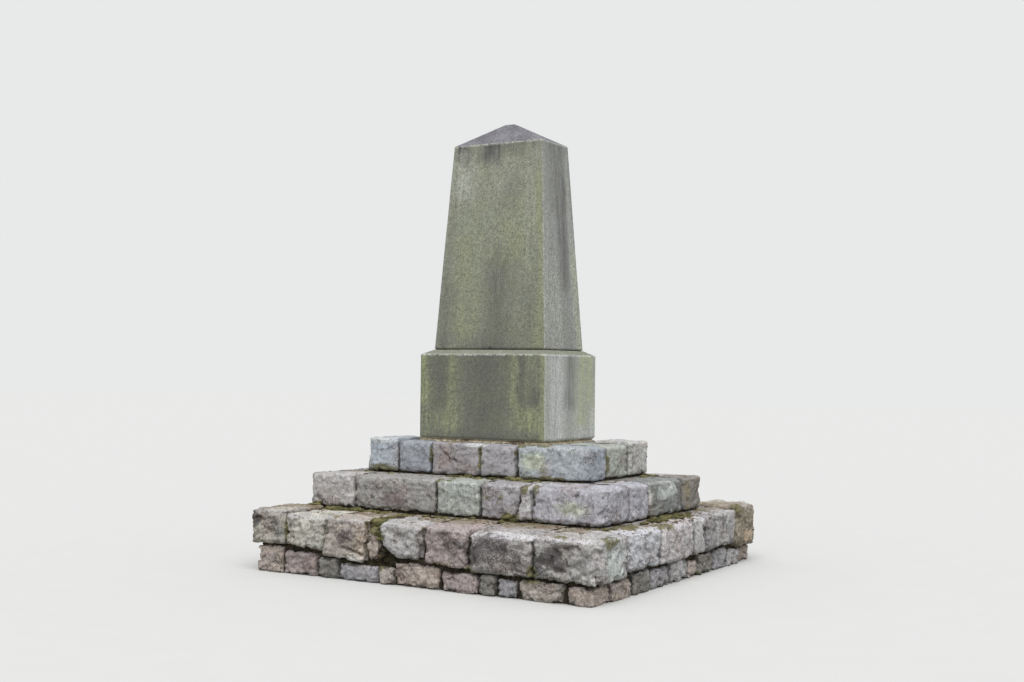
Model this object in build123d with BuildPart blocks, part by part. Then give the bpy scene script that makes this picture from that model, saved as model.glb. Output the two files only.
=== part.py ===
from build123d import *
from collections import namedtuple
import os

# An obelisk on three stepped courses of pitched-face blocks. The origin is the middle of the base
# at the lowest ground, the wide front faces -Y. Lengths run along X and widths along Y, in
# millimetres, and each course is measured over its pitched faces.
footing_height = 150
footing_inset = 30
footing_depth = 250
lower_length = 3200
lower_width = 3080
lower_height = 338
middle_length = 2780
middle_width = 1830
middle_height = 276
upper_length = 2106
upper_width = 1136
upper_height = 259

# What stands on the lower course isn't quite in its middle
standing_shift = (-8, -100)

# How deep the blocks reach into each course, behind the front and behind the sides
lower_front_depth = 720
lower_side_depth = 320
middle_front_depth = 430
middle_side_depth = 430
upper_front_depth = 360
upper_side_depth = 480

# How far the boldest pitched face stands in front of the arris line of its course
footing_pitch = 18
lower_pitch = 28
middle_pitch = 22
upper_pitch = 18

# Mortar: upright joints, level beds, and how far the pointing lies behind the arris line
joint_width = 14
bed_joint = 17
pointing_recess = 26
plinth_bed_joint = 23
shaft_bed_joint = 6

# The worn shoulder of each course: how far it reaches back, and how far the pointing sinks there
lower_wear_reach = 190
middle_wear_reach = 110
upper_wear_reach = 90
lower_shoulder_drop = 60
middle_shoulder_drop = 32
upper_shoulder_drop = 26

# The plinth block with its sloped weathering, and the tapered shaft with its low pyramid
plinth_length = 1216
plinth_width = 886
plinth_height = 701
plinth_arris = 26
plinth_foot_wear = 14
plinth_bed_margin = 22
wash_rise = 40
wash_seat = 7
shaft_foot_length = 1078
shaft_foot_width = 660
shaft_head_length = 868
shaft_head_width = 442
shaft_height = 1726
shaft_arris = 10
pyramid_height = 192
pyramid_tip_length = 74
pyramid_tip_width = 38
pyramid_tip_wear = 10

# One block on a wall face, seen from outside. Its width runs from joint to joint, and None marks
# the closer that takes what is left. proud is its share of the course's pitch. The foot of a side
# stands in, and its underside is lifted, by the given amounts at the left and at the right. wear
# is the drop of the worn top arris, knock a lower left corner broken off, and short how much the
# top lies below its course's level, or above it if negative.
Block = namedtuple(
    "Block",
    "width proud foot_left foot_right lift_left lift_right wear_left wear_right knock short crown",
    defaults=(0.8, 0, 0, 0, 0, 10, 10, 0, 0, 0.5),
)

lower_front_blocks = [
    Block(364, 0.8, 0, 6, 80, 92, 8, 6, short=-24, crown=0.45),
    Block(408, 1.0, 4, 56, 92, 60, 6, 10, crown=0.4),
    Block(385, 0.7, -50, 18, 34, 6, 9, 12, crown=0.55),
    Block(125, 0.3, 18, -4, 24, 30, 20, 20, short=48),
    Block(423, 0.9, 6, 48, 70, 72, 12, 26, knock=150, crown=0.62),
    Block(392, 1.0, 4, 8, 55, 30, 14, 24, crown=0.45),
    Block(None, 0.9, 0, 12, 24, 20, 44, 44, crown=0.55),
    Block(496, 1.0, 8, 0, 20, 4, 30, 24, crown=0.4),
]
lower_side_blocks = [
    Block(490, 0.9, 0, 12, 4, 6, 24, 26, crown=0.55),
    Block(575, 0.6, -4, 10, 34, 36, 26, 38, crown=0.5),
    Block(None, 1.0, 6, 14, 28, 30, 38, 30, crown=0.4),
    Block(220, 0.5, 4, 8, 32, 33, 30, 24, crown=0.6),
    Block(215, 0.8, 6, 4, 33, 41, 24, 18, crown=0.45),
    Block(431, 0.9, 6, 16, 50, 47, 18, 12, crown=0.5),
    Block(462, 0.8, 0, 0, 2, 0, 10, 14, knock=90, short=-24, crown=0.6),
]
middle_front_blocks = [
    Block(444, 0.8, 0, 6, 4, 0, 10, 12, crown=0.4),
    Block(812, 1.0, 4, 10, 2, 8, 12, 9, crown=0.55),
    Block(None, 0.6, 6, 8, 6, 4, 12, 16, crown=0.45),
    Block(382, 0.9, 0, 80, 0, 6, 14, 10, crown=0.45),
    Block(82, 0.4, -78, 4, 0, 4, 16, 12),
    Block(596, 1.0, 0, 0, 4, 0, 12, 15, crown=0.55),
]
middle_side_blocks = [
    Block(425, 0.9, 0, 8, 0, 4, 15, 12, crown=0.45),
    Block(346, 0.7, 4, 0, 6, 0, 10, 14, crown=0.55),
    Block(None, 1.0, 0, 12, 2, 8, 12, 18, crown=0.6),
    Block(389, 0.8, 6, 0, 4, 0, 14, 12, crown=0.5),
]
upper_front_blocks = [
    Block(308, 0.8, 0, 4, 6, 0, 12, 8, short=-20, crown=0.5),
    Block(330, 1.0, 0, 8, 0, 4, 9, 12, crown=0.5),
    Block(None, 0.7, 4, 0, 0, 2, 8, 10, crown=0.6),
    Block(340, 0.9, 2, 6, 4, 0, 14, 9, crown=0.45),
    Block(612, 1.0, 4, 0, 0, 0, 10, 8, crown=0.45),
]
upper_side_blocks = [
    Block(347, 0.9, 0, 6, 0, 2, 8, 12, crown=0.5),
    Block(None, 0.7, 4, 8, 2, 0, 12, 10, crown=0.5),
    Block(368, 1.0, 0, 0, 0, 6, 9, 12, short=-20, crown=0.45),
]

# The rubble of the footing runs the whole front, and between the fronts along the sides
footing_front_blocks = [
    Block(286, 1.0, 6, 10), Block(342, 0.6, 0, 14, short=14), Block(214, 0.9, 12, 0),
    Block(388, 0.7, 0, 20, short=8), Block(150, 1.0, 16, 4, short=30),
    Block(None, 0.5, 0, 12), Block(335, 0.8, 10, 6, short=10), Block(160, 1.0, 8, 18),
    Block(175, 0.5, 4, 10, short=18), Block(385, 0.9, 22, 26), Block(222, 0.8, 14, 0, short=6),
]
footing_side_blocks = [
    Block(348, 0.8, 0, 12, short=6), Block(300, 1.0, 10, 8), Block(None, 0.6, 4, 16, short=16),
    Block(335, 0.9, 14, 0), Block(180, 0.7, 8, 10, short=24), Block(335, 1.0, 0, 14),
    Block(300, 0.5, 6, 8, short=12), Block(268, 0.9, 12, 4),
]

# Levels, worked out from the heights and the beds
lower_bed = footing_height
lower_top = lower_bed + lower_height
middle_bed = lower_top + bed_joint
middle_top = middle_bed + middle_height
upper_bed = middle_top + bed_joint
upper_top = upper_bed + upper_height
plinth_bed = upper_top + plinth_bed_joint
plinth_top = plinth_bed + plinth_height
shaft_bed = plinth_top + wash_rise + shaft_bed_joint

# The share of a face that its pitched part keeps, the height of its middle, the slope of a broken
# corner, and the gap between a footing stone and the underside above it
pitch_share = 0.84
crown_height = 0.45
knock_slope = 0.72
pinning_gap = 12
half_turn = 180


# A wall face at the given distance from the middle, seen from outside with Z up
def wall_face(side, distance):
    outward = {"front": (0, -1, 0), "right": (1, 0, 0), "left": (-1, 0, 0)}[side]
    along = {"front": (1, 0, 0), "right": (0, 1, 0), "left": (0, -1, 0)}[side]
    origin = tuple(distance * part for part in outward)
    return Plane(origin=origin, x_dir=along, z_dir=outward)


# Where each block of a row starts and ends, with the closer filled in
def joint_places(blocks, span):
    closer = span - sum(block.width for block in blocks if block.width)
    places = []
    start = -span / 2
    for block in blocks:
        end = start + (block.width or closer)
        places.append((start, end))
        start = end
    return places


# The outline of one block between its joints, from its left foot round to its left top
def block_outline(block, left, right, bed, top):
    foot_left = left + block.foot_left
    foot_right = right - block.foot_right
    low_left = bed + block.lift_left
    outline = [(foot_right, bed + block.lift_right), (right, top - block.short)]
    outline += [(left, top - block.short)]
    if block.knock:
        outline += [(foot_left, low_left + block.knock * knock_slope)]
        outline += [(foot_left + block.knock, low_left)]
    else:
        outline += [(foot_left, low_left)]
    return outline


# The same outline drawn in towards the crown of the pitched face
def pitched_outline(block, outline):
    lefts = [point[0] for point in outline]
    levels = [point[1] for point in outline]
    crown_x = min(lefts) + block.crown * (max(lefts) - min(lefts))
    crown_z = min(levels) + crown_height * (max(levels) - min(levels))
    return [
        (crown_x + pitch_share * (x - crown_x), crown_z + pitch_share * (z - crown_z))
        for x, z in outline
    ]


def outline_face(face, outline):
    with BuildSketch(face) as drawn:
        with BuildLine():
            Polyline(*outline, close=True)
        make_face()
    return drawn.sketch


# The sections of the pitched face: a low frustum in front of the arris line
def pitch_sections(face, block, outline, proud):
    drawn_in = pitched_outline(block, outline)
    return [outline_face(face, outline), outline_face(face.offset(proud), drawn_in)]


# The plane of the worn top arris, which meets the bed surface at the given reach
def wear_plane(face, block, left, right, top, reach):
    level = top - block.short
    left_end = face.from_local_coords(Vector(left, level - block.wear_left, 0))
    right_end = face.from_local_coords(Vector(right, level - block.wear_right, 0))
    back = face.from_local_coords(Vector((left + right) / 2, level, -reach))
    slope = (right_end - left_end).cross(back - left_end)
    return Plane(origin=back, z_dir=slope if slope.Z > 0 else slope * -1)


def wall_block(face, block, left, right, bed, top, depth, pitch, reach):
    outline = block_outline(block, left, right, bed, top)
    with BuildPart() as stone:
        extrude(outline_face(face, outline), amount=-depth)
        loft(pitch_sections(face, block, outline, pitch * block.proud), ruled=True)
        split(bisect_by=wear_plane(face, block, left, right, top, reach), keep=Keep.BOTTOM)
    return stone.part


# A quoin shows a face on two sides: what both outlines allow, with a pitched face on each
def quoin(faces, blocks, ends, bed, top, pitch, reach):
    outlines = [block_outline(block, *end, bed, top) for block, end in zip(blocks, ends)]
    depths = [ends[1][1] - ends[1][0], ends[0][1] - ends[0][0]]
    with BuildPart() as stone:
        extrude(outline_face(faces[0], outlines[0]), amount=-depths[0])
        extrude(outline_face(faces[1], outlines[1]), amount=-depths[1], mode=Mode.INTERSECT)
        for face, block, outline in zip(faces, blocks, outlines):
            loft(pitch_sections(face, block, outline, pitch * block.proud), ruled=True)
        for face, block, end in zip(faces, blocks, ends):
            split(bisect_by=wear_plane(face, block, *end, top, reach), keep=Keep.BOTTOM)
    return stone.part


def joined(stones):
    with BuildPart() as row:
        for stone in stones:
            add(stone)
    return row.part


def turned(part):
    return part.rotate(Axis.Z, half_turn)


# The same block with a level underside, so that it meets the one round the corner
def levelled(block, lift):
    return block._replace(lift_left=lift, lift_right=lift, knock=0)


# One course. The back repeats the front and the left repeats the right, turned half round. Only the
# corner at the left end of the front and the one opposite differ at their undersides.
def build_course(length, width, pitch, bed, top, fronts, sides, front_depth, side_depth, reach):
    front = wall_face("front", width / 2 - pitch)
    right = wall_face("right", length / 2 - pitch)
    left = wall_face("left", length / 2 - pitch)
    gap = joint_width / 2
    front_places = joint_places(fronts, length - 2 * pitch)
    side_places = joint_places(sides, width - 2 * pitch)
    rows = {}
    for side, face, blocks, places, depth in (
        ("front", front, fronts, front_places, front_depth),
        ("right", right, sides, side_places, side_depth),
    ):
        inner = list(zip(blocks, places))[1:-1]
        rows[side] = joined([
            wall_block(face, block, start + gap, end - gap, bed, top, depth, pitch, reach)
            for block, (start, end) in inner
        ])
    front_start, front_end = front_places[0], front_places[-1]
    side_start, side_end = side_places[0], side_places[-1]
    near_right = quoin(
        (front, right), (fronts[-1], sides[0]),
        ((front_end[0] + gap, front_end[1]), (side_start[0], side_start[1] - gap)),
        bed, top, pitch, reach,
    )
    left_ends = ((front_start[0], front_start[1] - gap), (side_end[0] + gap, side_end[1]))
    near_left = quoin(
        (front, left), (fronts[0], levelled(sides[-1], fronts[0].lift_left)), left_ends,
        bed, top, pitch, reach,
    )
    far_right = turned(quoin(
        (front, left), (levelled(fronts[0], sides[-1].lift_right), sides[-1]), left_ends,
        bed, top, pitch, reach,
    ))
    return {
        "step_front": rows["front"],
        "step_back": turned(rows["front"]),
        "step_right": rows["right"],
        "step_left": turned(rows["right"]),
        "corner_front_right": near_right,
        "corner_back_left": turned(near_right),
        "corner_front_left": near_left,
        "corner_back_right": far_right,
    }


# The lowest underside of the wall between two places on a face
def underside(blocks, places, start, end):
    levels = []
    for block, (left, right) in zip(blocks, places):
        foot_left = left + block.foot_left
        foot_right = right - block.foot_right
        rise = (block.lift_right - block.lift_left) / (foot_right - foot_left)
        for place in (max(start, foot_left), min(end, foot_right)):
            if foot_left <= place <= foot_right and start <= place <= end:
                levels.append(block.lift_left + rise * (place - foot_left))
    return min(levels)


# A row of footing stones, each pinned up to the underside of the wall above it
def footing_row(face, blocks, span, wall_blocks, wall_span):
    wall_places = joint_places(wall_blocks, wall_span)
    stones = []
    for block, (start, end) in zip(blocks, joint_places(blocks, span)):
        top = lower_bed + underside(wall_blocks, wall_places, start, end) - pinning_gap
        gap = joint_width / 2
        stones.append(wall_block(
            face, block, start + gap, end - gap, 0, top, footing_depth, footing_pitch, footing_depth
        ))
    return joined(stones)


# The mortared core of a course: its bed, what lies behind the blocks, and the pointing between
# them, which sinks at the worn shoulder
def hearting(length, width, bottom, top, drop, reach, stones):
    with BuildPart() as core:
        with BuildSketch(Plane.XY.offset(bottom)):
            Rectangle(length, width)
        extrude(amount=top - drop - bottom)
        if drop:
            with BuildSketch(Plane.XY.offset(top - drop)):
                Rectangle(length, width)
            with BuildSketch(Plane.XY.offset(top)):
                Rectangle(length - 2 * reach, width - 2 * reach)
            loft(ruled=True)
        for stone in stones:
            add(stone, mode=Mode.SUBTRACT)
    return core.part


parts = {}

lower_course = build_course(
    lower_length, lower_width, lower_pitch, lower_bed, lower_top, lower_front_blocks,
    lower_side_blocks, lower_front_depth, lower_side_depth, lower_wear_reach,
)
middle_course = build_course(
    middle_length, middle_width, middle_pitch, middle_bed, middle_top, middle_front_blocks,
    middle_side_blocks, middle_front_depth, middle_side_depth, middle_wear_reach,
)
upper_course = build_course(
    upper_length, upper_width, upper_pitch, upper_bed, upper_top, upper_front_blocks,
    upper_side_blocks, upper_front_depth, upper_side_depth, upper_wear_reach,
)
for course, stones in (
    ("lower", lower_course), ("middle", middle_course), ("upper", upper_course),
):
    for place, stone in stones.items():
        parts[course + "_" + place] = stone

# Footing: its face stands back from the arris line of the wall
lower_arris_length = lower_length - 2 * lower_pitch
lower_arris_width = lower_width - 2 * lower_pitch
footing_length = lower_arris_length - 2 * footing_inset
footing_width = lower_arris_width - 2 * footing_inset
footing_side_span = footing_width - 2 * footing_depth - 2 * joint_width
footing_front_face = wall_face("front", footing_width / 2)
footing_right_face = wall_face("right", footing_length / 2)
first_front, last_side = lower_front_blocks[0], lower_side_blocks[-1]
wall_over_back = [levelled(first_front, last_side.lift_right), *lower_front_blocks[1:]]
wall_over_left = [*lower_side_blocks[:-1], levelled(last_side, first_front.lift_left)]
footing = {
    "footing_front": footing_row(
        footing_front_face, footing_front_blocks, footing_length,
        lower_front_blocks, lower_arris_length,
    ),
    "footing_back": turned(footing_row(
        footing_front_face, footing_front_blocks, footing_length,
        wall_over_back, lower_arris_length,
    )),
    "footing_right": footing_row(
        footing_right_face, footing_side_blocks, footing_side_span,
        lower_side_blocks, lower_arris_width,
    ),
    "footing_left": turned(footing_row(
        footing_right_face, footing_side_blocks, footing_side_span,
        wall_over_left, lower_arris_width,
    )),
}
parts.update(footing)

# Hearting of the footing and of each course
parts["footing_hearting"] = hearting(
    footing_length - 2 * pointing_recess, footing_width - 2 * pointing_recess,
    0, lower_bed, 0, 0, footing.values(),
)
parts["lower_hearting"] = hearting(
    lower_arris_length - 2 * footing_inset - 2 * pointing_recess,
    lower_arris_width - 2 * footing_inset - 2 * pointing_recess,
    lower_bed, lower_top, lower_shoulder_drop, lower_wear_reach,
    [*lower_course.values(), *footing.values()],
)
parts["middle_hearting"] = hearting(
    middle_length - 2 * middle_pitch - 2 * pointing_recess,
    middle_width - 2 * middle_pitch - 2 * pointing_recess,
    lower_top, middle_top, middle_shoulder_drop, middle_wear_reach, middle_course.values(),
)
parts["upper_hearting"] = hearting(
    upper_length - 2 * upper_pitch - 2 * pointing_recess,
    upper_width - 2 * upper_pitch - 2 * pointing_recess,
    middle_top, upper_top, upper_shoulder_drop, upper_wear_reach, upper_course.values(),
)

# Mortar bed under the plinth
with BuildPart() as plinth_mortar:
    with BuildSketch(Plane.XY.offset(upper_top)):
        Rectangle(plinth_length - 2 * plinth_bed_margin, plinth_width - 2 * plinth_bed_margin)
    extrude(amount=plinth_bed_joint)
parts["plinth_bed"] = plinth_mortar.part

# Plinth: a rounded block, worn at its foot, with a weathering sloped up to the shaft
with BuildPart() as plinth:
    with BuildSketch(Plane.XY.offset(plinth_bed)):
        RectangleRounded(plinth_length, plinth_width, plinth_arris)
    extrude(amount=plinth_height)
    chamfer(plinth.faces().sort_by(Axis.Z)[0].edges(), plinth_foot_wear)
    with BuildSketch(Plane.XY.offset(plinth_top)):
        RectangleRounded(plinth_length, plinth_width, plinth_arris)
    with BuildSketch(Plane.XY.offset(plinth_top + wash_rise)):
        RectangleRounded(
            shaft_foot_length + 2 * wash_seat, shaft_foot_width + 2 * wash_seat, plinth_arris
        )
    loft(ruled=True)
parts["plinth"] = plinth.part

# Mortar bed under the shaft
with BuildPart() as shaft_mortar:
    with BuildSketch(Plane.XY.offset(plinth_top + wash_rise)):
        Rectangle(shaft_foot_length - 2 * shaft_arris, shaft_foot_width - 2 * shaft_arris)
    extrude(amount=shaft_bed_joint)
parts["shaft_bed"] = shaft_mortar.part

# The plane of a sloped cut that leans from a low place to a high one, with its outside given
def leaning_cut(outward, low, high):
    lean = Vector(high) - Vector(low)
    across = lean.cross(Vector(outward))
    return Plane(origin=low, x_dir=across, z_dir=across.cross(lean))


# The cut of one battered face or pyramid slope of the shaft, between two of its sections
def shaft_side(outward, lower, upper):
    places = [
        (outward[0] * length / 2, outward[1] * width / 2, level)
        for length, width, level in (lower, upper)
    ]
    return leaning_cut(outward, *places)


# The cut of one arris of the shaft, which takes as much from both its faces
def shaft_edge(outward, lower, upper):
    inset = shaft_arris / 2
    places = [
        (outward[0] * (length / 2 - inset), outward[1] * (width / 2 - inset), level)
        for length, width, level in (lower, upper)
    ]
    return leaning_cut(outward, *places)


# Shaft: one stone, sawn to its battered faces, its low pyramid with a worn tip, and its arrises
shaft_head = shaft_bed + shaft_height
foot_section = (shaft_foot_length, shaft_foot_width, shaft_bed)
head_section = (shaft_head_length, shaft_head_width, shaft_head)
tip_section = (pyramid_tip_length, pyramid_tip_width, shaft_head + pyramid_height)
with BuildPart() as shaft:
    with BuildSketch(Plane.XY.offset(shaft_bed)):
        Rectangle(shaft_foot_length, shaft_foot_width)
    extrude(amount=shaft_height + pyramid_height)
    for outward in ((1, 0), (-1, 0), (0, 1), (0, -1)):
        split(bisect_by=shaft_side(outward, foot_section, head_section), keep=Keep.BOTTOM)
        split(bisect_by=shaft_side(outward, head_section, tip_section), keep=Keep.BOTTOM)
    chamfer(shaft.faces().sort_by(Axis.Z)[-1].edges(), pyramid_tip_wear)
    for outward in ((1, 1), (-1, 1), (1, -1), (-1, -1)):
        split(bisect_by=shaft_edge(outward, foot_section, head_section), keep=Keep.BOTTOM)
parts["shaft"] = shaft.part

# All but the lower course and its footing is shifted to where it stands
os.makedirs("parts", exist_ok=True)
for name, part in parts.items():
    if name.split("_")[0] not in ("footing", "lower"):
        part = part.moved(Location((*standing_shift, 0)))
    part.label = name
    export_step(part, "parts/" + name + ".step")
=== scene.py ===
import math
import random

import bmesh
import bpy
import numpy as np
from mathutils import Matrix, Vector


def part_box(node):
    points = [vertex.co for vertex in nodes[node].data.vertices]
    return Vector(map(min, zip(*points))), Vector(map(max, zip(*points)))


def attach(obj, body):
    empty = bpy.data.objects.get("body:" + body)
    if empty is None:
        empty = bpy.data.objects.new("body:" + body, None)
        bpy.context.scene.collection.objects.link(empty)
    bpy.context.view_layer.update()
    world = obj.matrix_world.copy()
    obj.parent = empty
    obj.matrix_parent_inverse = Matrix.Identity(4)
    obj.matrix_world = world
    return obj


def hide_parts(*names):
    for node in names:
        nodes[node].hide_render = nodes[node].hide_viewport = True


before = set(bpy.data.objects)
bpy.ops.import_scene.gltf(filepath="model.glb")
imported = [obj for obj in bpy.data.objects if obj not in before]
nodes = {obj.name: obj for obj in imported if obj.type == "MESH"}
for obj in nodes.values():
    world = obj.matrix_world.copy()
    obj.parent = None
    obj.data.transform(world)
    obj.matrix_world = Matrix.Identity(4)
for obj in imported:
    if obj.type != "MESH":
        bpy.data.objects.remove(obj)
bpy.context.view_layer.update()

print("frame loaded:", len(nodes), "nodes")


# Colours are written as they look on a screen, 0 to 255, and turned into light values
def paint(red, green, blue):
    parts = [part / 255 for part in (red, green, blue)]
    return tuple(p / 12.92 if p < 0.04045 else ((p + 0.055) / 1.055) ** 2.4 for p in parts) + (1.0,)


def bothWays(operation):  # an operator of a wire, and its form for a wire on the right
    return (
        lambda self, other: self.maths(operation, other),
        lambda self, other: self.maths(operation, other, True),
    )


class Wire:  # one node socket that can stand in a sum
    def __init__(self, shade, socket):
        self.shade = shade
        self.socket = socket

    def maths(self, operation, other, flipped=False):
        pair = {0: other, 1: self} if flipped else {0: self, 1: other}
        return self.shade.make("Math", {"operation": operation}, pair)

    __add__, __radd__ = bothWays("ADD")
    __sub__, __rsub__ = bothWays("SUBTRACT")
    __mul__, __rmul__ = bothWays("MULTIPLY")
    __truediv__, __rtruediv__ = bothWays("DIVIDE")

    def __abs__(self):
        return self.maths("ABSOLUTE", None)

    def atLeast(self, other):
        return self.maths("MAXIMUM", other)


def added(name, data):  # an object in the scene that shows this data
    thing = bpy.data.objects.new(name, data)
    bpy.context.collection.objects.link(thing)
    return thing


class Shade:  # a material, or the world, whose nodes are made from expressions
    def __init__(self, name, owner=None):
        self.material = owner or bpy.data.materials.new(name)
        self.material.use_nodes = True
        self.tree = self.material.node_tree
        self.tree.nodes.clear()

    def make(self, kind, settings=None, sockets=None, output=0):
        node = self.tree.nodes.new("ShaderNode" + kind)
        for key, value in (settings or {}).items():
            setattr(node, key, value)
        for key, value in (sockets or {}).items():
            if isinstance(value, Wire):
                self.tree.links.new(value.socket, node.inputs[key])
            elif value is not None:
                node.inputs[key].default_value = value
        return Wire(self, node.outputs[output]) if len(node.outputs) else None

    def place(self):  # position in metres in the object's own frame
        return self.make("TexCoord", output=3)

    def attribute(self, name):
        return self.make("Attribute", {"attribute_name": name})

    def split(self, vector):
        node = self.make("SeparateXYZ", None, {0: vector}).socket.node
        return [Wire(self, socket) for socket in node.outputs]

    def vector(self, operation, first, second, output=0):
        return self.make("VectorMath", {"operation": operation}, {0: first, 1: second}, output)

    def stretch(self, vector, amounts):
        return self.vector("MULTIPLY", vector, amounts)

    def shift(self, vector, other):
        return self.vector("ADD", vector, other)

    def noise(self, vector, scale, detail=4.0, rough=0.55, twist=0.0):
        sockets = {"Vector": vector, "Scale": scale, "Detail": detail, "Roughness": rough}
        sockets["Distortion"] = twist
        return self.make("TexNoise", None, sockets)

    def veins(self, vector):  # distance to the nearest line of a net of cracks
        settings = {"feature": "DISTANCE_TO_EDGE"}
        return self.make("TexVoronoi", settings, {"Vector": vector, "Scale": 1.0})

    def facets(self, vector, scale):  # flat tilted flakes with crisp borders
        scaled = self.stretch(vector, (scale, scale, scale))
        cell = self.make("TexVoronoi", None, {"Vector": scaled, "Scale": 1.0}).socket.node
        middle, colour = Wire(self, cell.outputs["Position"]), Wire(self, cell.outputs["Color"])
        away = self.vector("SUBTRACT", scaled, middle)
        tilt = self.vector("SUBTRACT", colour, (0.5, 0.5, 0.5))
        return self.vector("DOT_PRODUCT", away, tilt, 1)

    def step(self, value, low, high):  # 0 below low, 1 above high, smooth between
        settings = {"interpolation_type": "SMOOTHSTEP"}
        return self.make("MapRange", settings, {0: value, 1: low, 2: high, 3: 0.0, 4: 1.0})

    def blend(self, first, second, factor):
        return self.make("Mix", {"data_type": "RGBA"}, {0: factor, 6: first, 7: second}, 2)

    def tone(self, colour, level):  # a colour made lighter or darker by a number
        colour = colour if isinstance(colour, Wire) else colour[:3]
        return self.stretch(colour, self.make("CombineXYZ", None, {0: level, 1: level, 2: level}))

    def watched(self):  # 1 for what the camera, gloss and glass look at, 0 for light that bounces
        rays = self.make("LightPath").socket.node.outputs
        kinds = ("Is Camera Ray", "Is Glossy Ray", "Is Transmission Ray")
        camera, gloss, glass = (Wire(self, rays[kind]) for kind in kinds)
        return camera.atLeast(gloss).atLeast(glass)

    def finish(self, colour, rough, height, relief, specular):
        bump = self.make("Bump", None, {"Strength": 1.0, "Distance": relief, "Height": height})
        sockets = {"Base Color": colour, "Roughness": rough, "Normal": bump}
        sockets["Specular IOR Level"] = specular
        surface = self.make("BsdfPrincipled", None, sockets)
        self.make("OutputMaterial", None, {"Surface": surface})
        return self.material


# Repeatable noise on arrays of points, so that every run carves the same stones
def scatter(cells, salt):
    mixed = cells[:, 0] * 73856093 ^ cells[:, 1] * 19349663 ^ cells[:, 2] * 83492791 ^ salt * 40503
    mixed = (mixed ^ (mixed >> 13)) * 1274126177 & 0xFFFFFFFF
    mixed = (mixed ^ (mixed >> 15)) * 668265263 & 0xFFFFFFFF
    mixed = mixed ^ (mixed >> 16)
    return (mixed & 0xFFFFFF) / 0xFFFFFF


def waves(points, size, salt):  # smooth noise from -1 to 1, size in metres
    scaled = points / size
    base = np.floor(scaled).astype(np.int64)
    part = scaled - base
    part = part * part * (3 - 2 * part)
    total = np.zeros(len(points))
    for corner in range(8):
        offset = np.array([corner & 1, corner >> 1 & 1, corner >> 2 & 1])
        share = np.prod(np.where(offset, part, 1 - part), axis=1)
        total += share * scatter(base + offset, salt)
    return total * 2 - 1


def layered(points, size, salt, octaves=4, gain=0.5):
    total, weight, most = np.zeros(len(points)), 1.0, 0.0
    for octave in range(octaves):
        total += weight * waves(points, size / 2 ** octave, salt + octave * 17)
        most += weight
        weight *= gain
    return total / most


def chips(points, size, salt):  # flat flakes that tilt every way, as broken stone has, -1 to 1
    scaled = points / size
    base = np.floor(scaled).astype(np.int64)
    nearest = np.full(len(points), 9.0)
    height = np.zeros(len(points))
    for x in (-1, 0, 1):
        for y in (-1, 0, 1):
            for z in (-1, 0, 1):
                cell = base + np.array([x, y, z])
                seeds = [scatter(cell, salt + part) for part in range(6)]
                away = scaled - cell - np.stack(seeds[:3], axis=1)
                apart = (away ** 2).sum(axis=1)
                tilt = np.stack(seeds[3:], axis=1) * 2 - 1
                closer = apart < nearest
                height = np.where(closer, (away * tilt).sum(axis=1), height)
                nearest = np.where(closer, apart, nearest)
    return np.clip(height, -1, 1)


def fade(value, full, none):  # 1 at full, 0 at none, smooth between
    part = np.clip((value - none) / (full - none), 0, 1)
    return part * part * (3 - 2 * part)


# The closed solids of a CAD node, each as its own small mesh
def solidsOf(name):
    shape = bmesh.new()
    shape.from_mesh(nodes[name].data)
    bmesh.ops.remove_doubles(shape, verts=shape.verts, dist=1e-5)
    left = set(shape.verts)
    solids = []
    while left:
        found = {left.pop()}
        edge = list(found)
        while edge:
            for link in edge.pop().link_edges:
                for vertex in link.verts:
                    if vertex not in found:
                        found.add(vertex)
                        edge.append(vertex)
        left -= found
        order = {vertex: index for index, vertex in enumerate(found)}
        points = [vertex.co[:] for vertex in order]
        faces = [[order[v] for v in face.verts] for face in shape.faces if face.verts[0] in order]
        solids.append((points, faces))
    shape.free()
    solids.sort(key=lambda solid: tuple(np.round(np.array(solid[0]).mean(axis=0), 4)))
    return solids


def meshOf(piece):  # the mesh that a piece has with its modifiers
    return bpy.data.meshes.new_from_object(piece.evaluated_get(bpy.context.evaluated_depsgraph_get()))


def listed(items, field, width, kind):  # one field of a mesh's points or corners, row by row
    values = np.zeros(len(items) * width, kind)
    items.foreach_get(field, values)
    return values.reshape(-1, width) if width > 1 else values


# An even skin of small four-sided faces over a solid, which keeps its arrises
def evenSkin(points, faces, grain):
    mesh = bpy.data.meshes.new("skin")
    mesh.from_pydata(points, [], faces)
    piece = added("skin", mesh)
    extent = np.ptp(np.array(points), axis=0).max()
    remesh = piece.modifiers.new("remesh", "REMESH")
    remesh.mode = "SHARP"
    remesh.octree_depth = math.ceil(math.log2(extent / grain / 0.95))
    remesh.scale = extent / grain / 2 ** remesh.octree_depth
    remesh.use_remove_disconnected = False
    made = meshOf(piece)
    bpy.data.objects.remove(piece)
    bpy.data.meshes.remove(mesh)
    places = listed(made.vertices, "co", 3, np.float32).astype(float)
    normals = listed(made.vertices, "normal", 3, np.float32).astype(float)
    quads = listed(made.loops, "vertex_index", 1, np.int32).reshape(-1, 4)
    bpy.data.meshes.remove(made)
    return places, normals, quads


# The same skin with each point drawn towards its neighbours, round after round
def relaxed(points, quads, rounds):
    start, end = quads.ravel(), np.roll(quads, -1, axis=1).ravel()
    shares = np.bincount(start, minlength=len(points))[:, None]
    for _ in range(rounds):
        sums = [np.bincount(start, points[end, axis], len(points)) for axis in range(3)]
        points = (points + np.stack(sums, axis=1) / shares) / 2
    return points


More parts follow.
